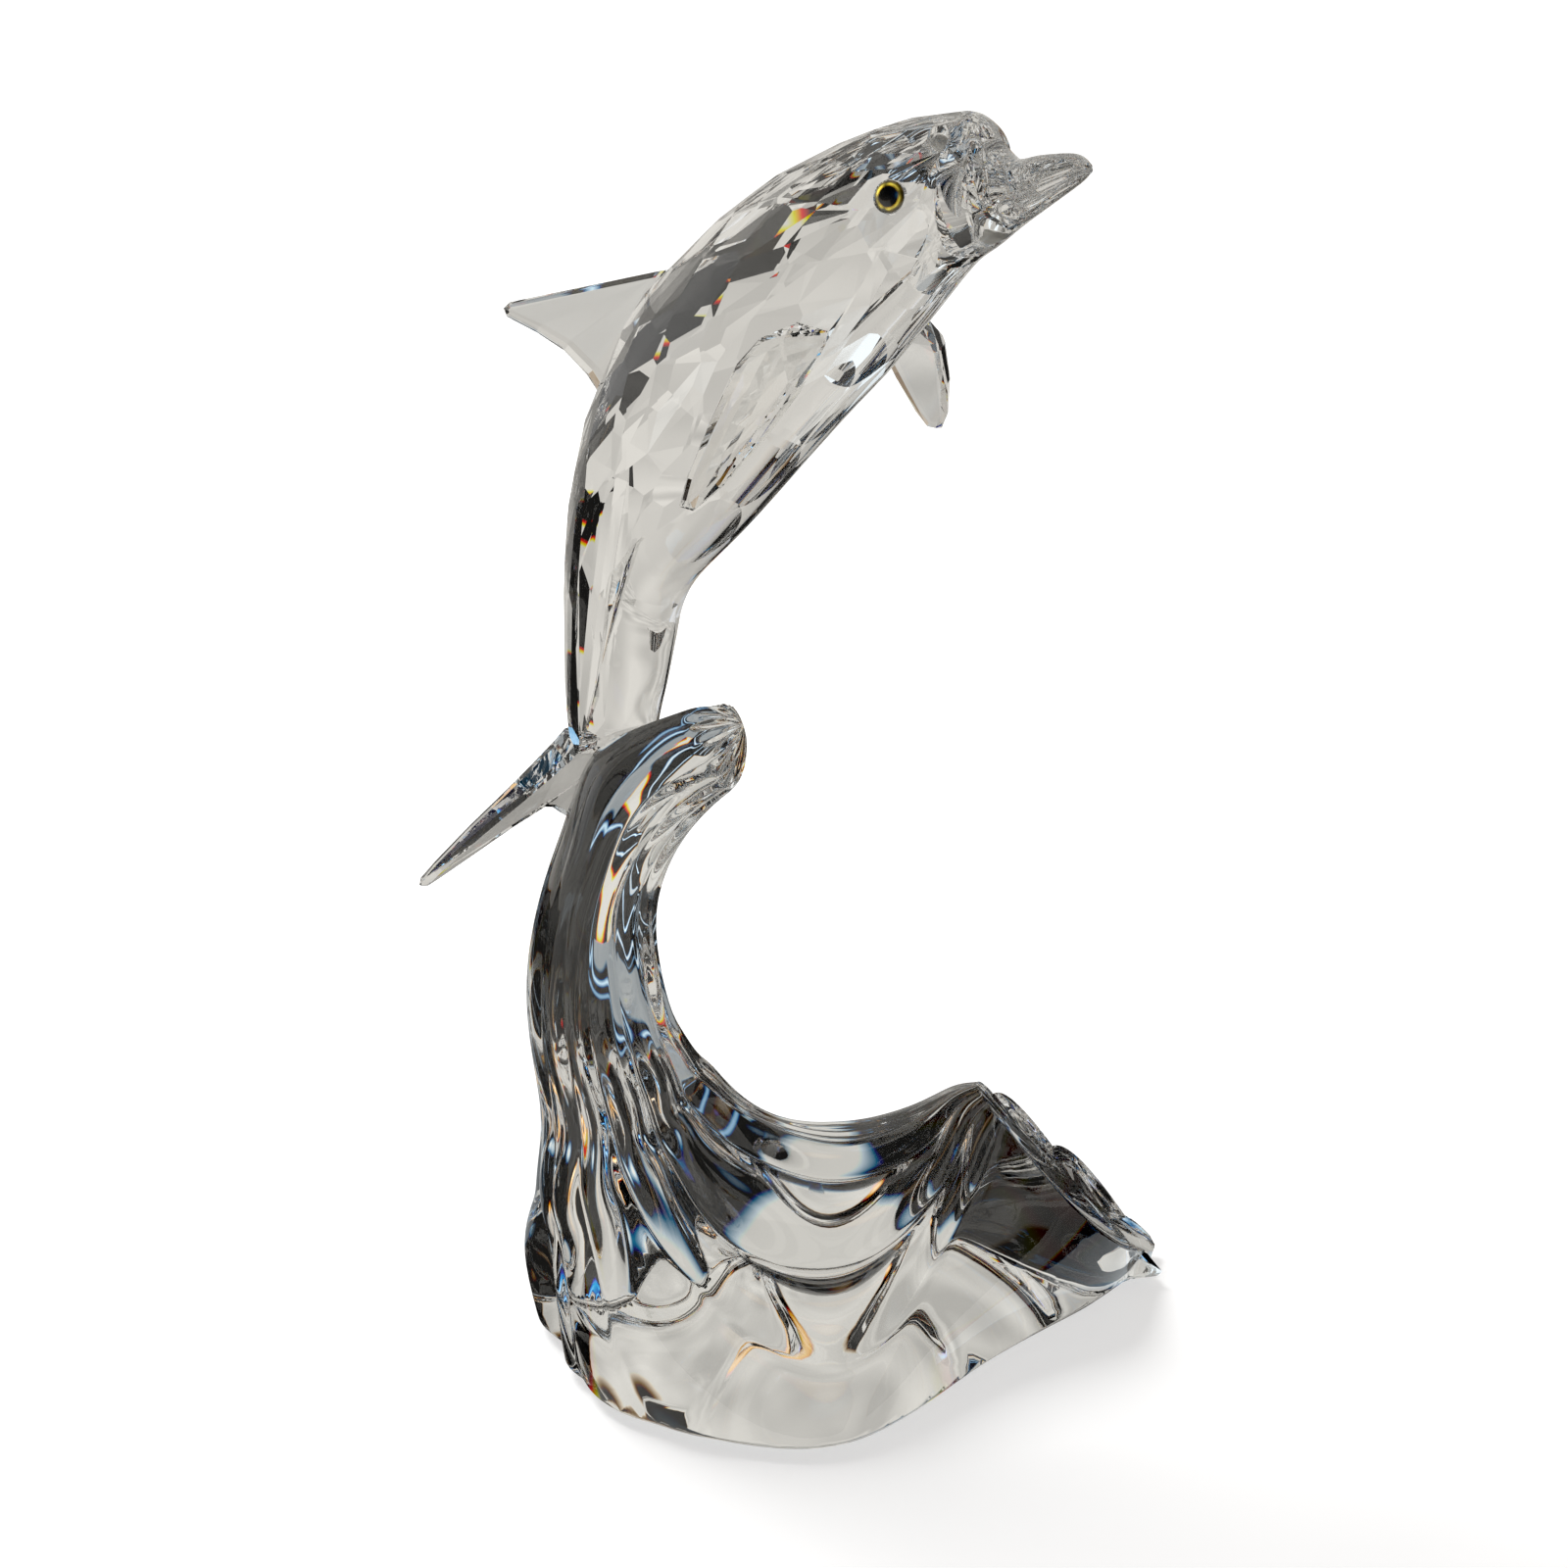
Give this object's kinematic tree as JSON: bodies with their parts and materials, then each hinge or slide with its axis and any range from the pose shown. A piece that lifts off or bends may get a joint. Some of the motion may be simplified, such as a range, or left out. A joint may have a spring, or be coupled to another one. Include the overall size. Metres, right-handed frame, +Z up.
{
  "type": "dolphin figurine",
  "caption": "Cut-glass dolphin leaping from a moulded glass wave, for display on a shelf; fins, eyes and clear feet are glued on.",
  "frame": {"origin": "middle of the whole figurine's footprint, on the surface it stands on", "axes": "+X the way the dolphin faces, +Y to the dolphin's left, +Z up"},
  "size_m": [0.1006, 0.1052, 0.1973],
  "materials": {
    "cut_crystal": "ground facets, polished clear",
    "moulded_crystal": "moulded and fire-polished clear",
    "enamelled_eye": "gloss, gold ring round a black pupil",
    "clear_silicone": "clear, soft"
  },
  "bodies": {
    "root": {"dolphin_body": "cut_crystal", "dorsal_fin": "cut_crystal", "right_flipper": "cut_crystal", "left_flipper": "cut_crystal", "tail_fluke": "cut_crystal", "wave_base": "moulded_crystal", "right_eye": "enamelled_eye", "left_eye": "enamelled_eye", "bumper_foot_1": "clear_silicone", "bumper_foot_2": "clear_silicone", "bumper_foot_3": "clear_silicone", "bumper_foot_4": "clear_silicone"}
  },
  "joints": []
}
